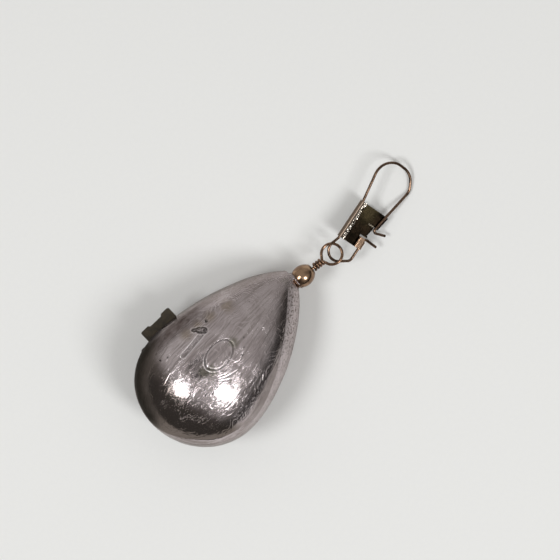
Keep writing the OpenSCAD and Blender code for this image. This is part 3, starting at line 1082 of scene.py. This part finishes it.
def castBelly(cast):
    # the dull skin darkened with painted shade, the pale rim that narrows towards the left, and painted shade
    # on the lower left
    x, y, inward, ragged = cast.x, cast.y, cast.inward, cast.ragged
    rimward = inward + ragged * 0.10 + y.rise(*castMarks["rimNarrows"]) * 1.9
    rim = rimward.fall(*castMarks["rim"])
    cast.skin = (-x + y * y * 0.018 + ragged * 0.8).rise(*castMarks["skin"]) * (1 - rim)
    cast.rim = rim * (-x).rise(*castMarks["rimBelow"])
    cast.left = (y + ragged * 0.6).rise(*castMarks["leftSide"])
    cast.left *= (y - x + ragged).rise(*castMarks["leftCorner"])
    cast.left *= (inward + ragged * 0.4).fall(*castMarks["leftInward"])


def castTaper(cast):
    # painted reflection of the dark tab on the left shoulder, the upper rim, the sandy right edge painted
    # paler as a reflection of the pale floor, and a painted dark reflection streak beside it
    x, y, inward, ragged = cast.x, cast.y, cast.inward, cast.ragged
    shoulder = (inward + ragged * 0.3).band(*castMarks["shoulder"]) * y.rise(*castMarks["shoulderSide"])
    cast.shoulder = shoulder * x.band(*castMarks["shoulderAlong"])
    upperRim = (inward + ragged * 0.2).fall(*castMarks["upperRim"]) * y.rise(*castMarks["upperRimSide"])
    cast.upperRim = upperRim * x.rise(*castMarks["upperRimAlong"])
    rightSide = (-y).rise(*castMarks["rightSide"]) * x.rise(*castMarks["rightAlong"])
    edgeward = inward + ragged * 0.12 + x.fall(*castMarks["edgeNarrows"]) * 2.6
    cast.sandy = edgeward.fall(*castMarks["sandy"]) * rightSide
    cast.streak = rightSide * edgeward.rise(*castMarks["sandy"])
    cast.streak *= (edgeward + ragged * 0.25).fall(*castMarks["streak"])
    cast.calm = x.rise(*castMarks["calm"])                # the taper set smoother than the belly


def spots(cast, kind, soft, noise):
    # soft round marks on the front, broken up by a noise
    marks = []
    for px, py, radius in castSpots[kind]:
        dx, dy = cast.x - px, cast.y - py
        near = (dx * dx + dy * dy) ** 0.5 + (noise - 0.5) * 2.4 * radius
        marks.append(near.fall(radius - soft * 0.5, radius + soft * 0.5))
    for mark in marks[1:]:
        marks[0] = marks[0].most(mark)
    return marks[0] * cast.front


def strokeReach(cast, start, end):
    # how far a point lies from a straight stroke of the number
    length = math.dist(start, end)
    ux, uy = (end[0] - start[0]) / length, (end[1] - start[1]) / length
    run = ((cast.x - start[0]) * ux + (cast.y - start[1]) * uy).most(0.0).least(length)
    dx = cast.x - start[0] - run * ux
    dy = cast.y - start[1] - run * uy
    return (dx * dx + dy * dy) ** 0.5


def castNumber(cast):
    # the sunk strokes of the number, later darkened as painted shade, the brink along them with a painted
    # glint, strongest at the nought's end nearest the belly, and the flag with its grainy floor
    (atX, atY), (halfX, halfY) = number["nought"], number["noughtHalf"]
    wobble = (cast.grain - 0.5) * 0.25
    px, py = (cast.x - atX) / halfX, (cast.y - atY) / halfY
    ring = abs((px * px + py * py) ** 0.5 - 1) * 3.5 + wobble
    stem = strokeReach(cast, *number["stem"]) + wobble
    flag = strokeReach(cast, *number["flag"][:2]) - 0.14
    flag = flag.least(strokeReach(cast, *number["flag"][1:]) + 0.24) + wobble * 2
    line = ring.fall(0.12, 0.30) * (0.65 + py.rise(-0.6, 0.5) * 0.35)
    sunkStem = stem.fall(0.50, 0.62) * (0.55 + cast.grain.rise(0.40, 0.60) * 0.3)
    lowEnd = px.fall(-1.0, -0.3)                          # the nought's end nearest the belly
    brink = ring.band(0.28, 0.38, 0.42, 0.60) * (0.40 + lowEnd * 0.6)
    brink = brink.most(stem.band(0.58, 0.68, 0.82, 1.0)).most(flag.band(0.78, 0.86, 0.95, 1.15) * 0.5)
    floor = flag.fall(0.62, 0.78)
    cast.sunk = line.most(sunkStem) * cast.front
    cast.brink = brink * cast.front * (1 - floor)
    cast.flag = floor * cast.front
    cast.flagEdge = flag.band(0.34, 0.52, 0.66, 0.78) * cast.front


def castPits(cast):
    # small pits, and a painted dark reflection between the numbers with the lines in it
    aside = cast.lead.shift(cast.spot, (7.1, 3.3, 1.9))
    pits = cast.lead.cells(aside, 0.42).fall(*castMarks["pits"]) * cast.patches.rise(*castMarks["pitPatches"])
    cast.pits = pits.most(spots(cast, "pits", 0.15, cast.grain))
    cast.soot = spots(cast, "soot", 2.6, cast.wrinkle)
    cast.sootLines = cast.worm.rise(*castMarks["sootLines"])


def castColour(cast):
    fibres, grain, speckle = cast.fibres, cast.grain, cast.speckle
    specks = speckle.rise(0.53, 0.62) * (0.25 + cast.x.rise(10.0, 26.0) * 0.45)
    stroke = (cast.flag * (0.35 + grain.rise(0.42, 0.54) * 0.45)).most(cast.flagEdge * 0.85)
    stroke = stroke.most(cast.sunk * 0.48)
    layers = (                                            # each laid over the ones before it
        (cast.patches.rise(0.30, 0.70), "paleMetal"),
        (spots(cast, "pale", 2.6, fibres) * 0.7, "paleMetal"),
        (fibres.rise(0.47, 0.64) * 0.55, "dullMetal"),
        (grain.rise(0.50, 0.72) * 0.35, "dullMetal"),
        (cast.ridge * cast.front * 0.65 * (1 - cast.skin), "paleMetal"),
        (spots(cast, "ochre", 2.4, fibres) * 0.52, "ochre"),
        (spots(cast, "olive", 1.6, cast.wrinkle) * 0.60, "olive"),
        # painted dark reflection, with darker lines in it
        (cast.soot * (0.30 + cast.sootLines * 0.50), "oxide"),
        (cast.x.rise(*castMarks["dullTip"]) * 0.30, "dullMetal"),
        # the sandy right edge painted paler: a painted reflection of the pale floor
        (cast.sandy * speckle.fall(0.42, 0.58) * 0.6, "paleMetal"),
        (cast.upperRim * (0.2 + speckle.rise(0.45, 0.60) * 0.5), "dullMetal"),
        (cast.sandy * specks, "tarnish"),
        # a painted dark reflection streak beside the sandy edge
        (cast.streak * 0.55, "tarnish"),
        # a painted reflection of the dark tab on the left shoulder
        (cast.shoulder * (0.55 + cast.wrinkle * 0.6).least(1.0), "umber"),
        # painted shade over the belly's dull skin
        (cast.skin * 0.92, "skin"),
        (cast.creases * 0.45 * cast.skin, "metal"),
        # painted shade on the lower left
        (cast.left * 0.95, "oxide"),
        (cast.rimLines.rise(0.50, 0.60) * cast.rim * 0.65, "dullMetal"),
        # painted shade in the sunk strokes and the flag, and dark pits
        ((cast.pits * 0.8).most(stroke), "oxide"),
        # a painted glint along the strokes' brink
        (cast.brink * 0.75, "brightMetal"),
    )
    colour = castLook["metal"]
    for mask, name in layers:
        colour = cast.lead.mix(mask, colour, castLook[name])
    return colour


def castRoughness(cast):
    rough = castLook["roughness"]
    for name, share in castDullness.items():
        rough += getattr(cast, name) * share
    return rough


def castRelief(cast):
    skin, calm = cast.skin, cast.calm
    height = cast.fibres * (0.34 - skin * 0.28)
    height += cast.wrinkle * (0.50 - calm * 0.32 - skin * 0.38)
    height += cast.creases * (0.20 - calm * 0.13)
    height += cast.grain * (0.09 - skin * 0.075)
    for name, share in castHeights.items():
        height += getattr(cast, name) * share
    height -= cast.soot * cast.sootLines * 0.3
    height += cast.flag * cast.grain * 0.8
    height += cast.sandy * cast.speckle * 0.40
    height += cast.upperRim * (cast.speckle * 0.35 + cast.wrinkle * 0.3)
    height += cast.rimLines * cast.rim * 0.3
    return height


def leadFinish():
    lead = newFinish("castLead")
    cast = castGround(lead)
    for add in (castFlow, castBelly, castTaper, castPits, castNumber):
        add(cast)
    lead.set(Base_Color=castColour(cast), Metallic=castLook["metallic"], Specular_Tint=castLook["sheen"],
             Roughness=castRoughness(cast))
    lead.bump(castRelief(cast), castLook["relief"])
    return lead


# the tab's, the barrel's and the wires'

tabLook = {
    "brown": (0.022, 0.015, 0.007),
    "paleBrown": (0.042, 0.029, 0.014),
    "roughness": 0.60,
    "relief": 0.06,
}


def tabFinish():
    dark = newFinish("brownBlackMetal")
    spot = dark.at(lying)
    mottle = dark.noise(spot, 0.9, 4.0, 0.6)
    fine = dark.noise(spot, 5.0, 4.0, 0.65)
    dark.set(Base_Color=dark.mix(mottle.rise(0.35, 0.7), tabLook["brown"], tabLook["paleBrown"]),
             Metallic=0.2, Roughness=tabLook["roughness"] + fine * 0.2)
    dark.bump(fine * 0.6 + mottle, tabLook["relief"])
    return dark


brassLook = {
    "brass": (0.40, 0.262, 0.168),
    "browned": (0.22, 0.135, 0.085),
    "dirt": (0.10, 0.065, 0.045),
    "roughness": 0.12,
    "relief": 0.02,
}


def brassFinish():
    brass = newFinish("brownedBrass")
    spot = brass.at(atSwivel)
    x, y, z = brass.parts(spot)
    toolMarks = brass.noise(brass.joined(x * 9, y * 0.6, z * 0.6), 1.6, 3.0, 0.6)
    cloud = brass.noise(spot, 0.5, 4.0, 0.6)
    # darker towards the barrel's ends
    edge = abs(x).rise(2.5, 3.15)
    colour = brass.mix(cloud.rise(0.38, 0.62), brassLook["brass"], brassLook["browned"])
    brass.set(Base_Color=brass.mix(edge * 0.8, colour, brassLook["dirt"]), Metallic=1.0,
              Roughness=brassLook["roughness"] + cloud * 0.10 + edge * 0.15)
    brass.bump(toolMarks * 0.6 + cloud * 0.6, brassLook["relief"])
    return brass


wireLook = {
    "bronze": {"bright": (0.27, 0.162, 0.104), "dark": (0.12, 0.071, 0.046), "roughness": 0.09},
    "darkBronze": {"bright": (0.18, 0.112, 0.075), "dark": (0.072, 0.044, 0.029), "roughness": 0.08},
    "relief": 0.012,
}


def wireFinish(name, matrix, look):
    wire = newFinish(name)
    spot = wire.at(matrix)
    cloud = wire.noise(spot, 0.7, 4.0, 0.6)
    fine = wire.noise(spot, 6.0, 3.0, 0.6)
    wire.set(Base_Color=wire.mix(cloud.rise(0.35, 0.7), look["bright"], look["dark"]), Metallic=1.0,
             Roughness=look["roughness"] + fine * 0.12)
    wire.bump(fine * 0.5 + cloud, wireLook["relief"])
    return wire


# the clasp's

# the tube is painted lighter as lit, the crimp is a painted highlight, the gutter a painted shadow and the
# rubbed cut edge a painted glint
claspLook = {
    "black": (0.008, 0.006, 0.004),
    "brown": (0.026, 0.017, 0.010),
    "olive": (0.060, 0.046, 0.024),
    "tube": (0.19, 0.142, 0.108),
    "gutter": (0.010, 0.007, 0.005),
    "tongue": (0.27, 0.178, 0.12),
    "rubbed": (0.36, 0.31, 0.24),
    "crimp": (0.62, 0.55, 0.48),
    "roughness": 0.13,
    "relief": 0.02,
}


def claspFinish():
    sheet = newFinish("darkSheet")
    spot = sheet.at(atSnap)
    x, y, z = sheet.parts(spot)
    cloud = sheet.noise(spot, 0.45, 4.0, 0.6, 0.5)
    fine = sheet.noise(spot, 4.5, 4.0, 0.6)
    rolled = sheet.noise(sheet.joined(x * 0.25, y * 3, z * 3), 1.6, 3.0, 0.6)
    dents = sheet.noise(spot, 1.5, 2.0, 0.5)
    # a painted highlight along the crimped strip
    crimp = y.band(-1.9, -1.75, -0.86, -0.74) * z.rise(-0.42, -0.38)
    # a painted shadow in the fillet between the tube and the crimped strip
    gutter = y.band(-0.90, -0.78, -0.62, -0.54) * z.rise(-0.42, -0.30)
    # the rolled tube painted lighter than the plate, as lit
    tube = y.rise(-0.72, -0.60)
    tongue = z.rise(0.20, 0.40) * y.fall(-4.9, -4.8) * x.fall(3.2, 3.4)
    corner = x.rise(5.0, 9.5) * y.rise(-7.0, -4.5)        # olive brown near the channel
    # a painted glint on the cut edge where the channel begins
    rubbed = x.band(6.8, 6.9, 7.15, 7.3) * y.fall(-5.4, -5.2)
    layers = (
        (cloud.rise(0.40, 0.66), "brown"),
        (corner * (0.4 + cloud * 0.9).least(1.0), "olive"),
        (tube, "tube"),
        (gutter * 0.9, "gutter"),
        (tongue, "tongue"),
        (rubbed * fine.rise(0.40, 0.60), "rubbed"),
        (crimp * dents.rise(0.42, 0.54), "crimp"),
    )
    colour = claspLook["black"]
    for mask, name in layers:
        colour = sheet.mix(mask, colour, claspLook[name])
    sheet.set(Base_Color=colour, Metallic=1.0,
              Roughness=claspLook["roughness"] + cloud * 0.10 + fine * 0.08 + tube * 0.12)
    sheet.bump(rolled * 0.6 + cloud + fine * 0.3, claspLook["relief"])
    return sheet


leadFinish().wear(body)
tabFinish().wear(sideTab)
brassFinish().wear(barrel)
bronze = wireFinish("bronzeWire", atSwivel, wireLook["bronze"])
bronze.wear(swivelWire)
bronze.wear(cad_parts["anchor_eye"])
darkWire = wireFinish("darkBronzeWire", atSnap, wireLook["darkBronze"])
darkWire.wear(lowerLoop)
darkWire.wear(upperBow)
claspFinish().wear(snapClasp)
print("finishes on")


# floor, light and camera

studio = {
    "floor": 3,                  # metres
    "paper": ((0.775, 0.765, 0.745), (0.795, 0.785, 0.765)),
    "paperGrain": (900.0, 2.0, 0.5),
    "paperRoughness": 0.8,
    "roomHigh": 0.48,
    "roomLow": 0.04,
    "roomShade": 0.11,
    "roomTint": (1.0, 0.985, 0.96),
    "lampDistance": 0.9,
    "lampColour": (0.96, 0.985, 1.0),
    "lampLeft": {"towards": (-0.474, 0.291, 0.832), "size": (0.32, 0.34), "watts": 3.4},
    "lampRight": {"towards": (0.022, -0.573, 0.819), "size": (0.21, 0.44), "watts": 3.3},
    "centre": (32.66, 2.09),     # what the camera looks at, in the weight's millimetres
    "roll": 49.7,
    "distance": 1.0,             # metres
    "fieldWidth": 0.14737,
    "sensor": 36,
}


def makeFloor():
    floor = newShape(bpy.ops.mesh.primitive_plane_add, "tableTop", size=studio["floor"])
    paper = newFinish("paleTable")
    grain = paper.noise(paper.where(), *studio["paperGrain"])
    paper.set(Base_Color=paper.mix(grain, *studio["paper"]), Roughness=studio["paperRoughness"])
    paper.wear(floor)


def makeLamp(name):
    lamp = studio[name]
    ahead = (lying.to_3x3() @ Vector(lamp["towards"])).normalized()
    side = Vector((1, 0, 0)).cross(ahead).normalized()
    turn = Matrix((side.cross(ahead).normalized() * -1, side * -1, ahead)).transposed()
    light = newShape(bpy.ops.object.light_add, name, type="AREA",
                     location=lying @ Vector((0, 0, 0)) + ahead * studio["lampDistance"])
    light.data.shape = "ELLIPSE"
    light.data.size, light.data.size_y = lamp["size"]
    light.data.energy = lamp["watts"]
    light.data.color = studio["lampColour"]
    light.rotation_mode = "QUATERNION"
    light.rotation_quaternion = turn.to_quaternion()


def makeWorld():
    world = bpy.data.worlds.new("studioRoom")
    bpy.context.scene.world = world
    sky = Finish(world)
    x, y, z = sky.parts(sky.where("Generated"))
    low = z.fall(0.12, 0.72) * (-y).rise(-0.10, 0.35)         # low down on the right
    bright = studio["roomHigh"] * (1 - low) + studio["roomLow"] * low
    shade = (-x).rise(0.10, 0.62)                             # the unlit end of the room, beyond the belly
    level = bright * (1 - shade) + studio["roomShade"] * shade
    tint = sky.joined(*(level * share for share in studio["roomTint"]))
    sky.feed(sky.tree.nodes["Background"].inputs["Color"], tint)


def makeCamera():
    turn = math.radians(studio["roll"])
    frameTurn = lying.to_3x3().normalized()
    right = frameTurn @ Vector((math.cos(turn), -math.sin(turn), 0))
    up = frameTurn @ Vector((math.sin(turn), math.cos(turn), 0))
    back = frameTurn @ Vector((0, 0, 1))
    matrix = Matrix((right, up, back)).transposed().to_4x4()
    matrix.translation = lying @ Vector((*studio["centre"], 0)) + back * studio["distance"]
    camera = newShape(bpy.ops.object.camera_add, "camera")
    camera.matrix_world = matrix
    camera.data.sensor_width = studio["sensor"]
    camera.data.lens = studio["sensor"] * studio["distance"] / studio["fieldWidth"]
    camera.data.clip_start = 0.01
    camera.data.clip_end = 10
    bpy.context.scene.camera = camera


makeFloor()
makeLamp("lampLeft")
makeLamp("lampRight")
makeWorld()
makeCamera()
bpy.context.scene.view_settings.view_transform = "Standard"
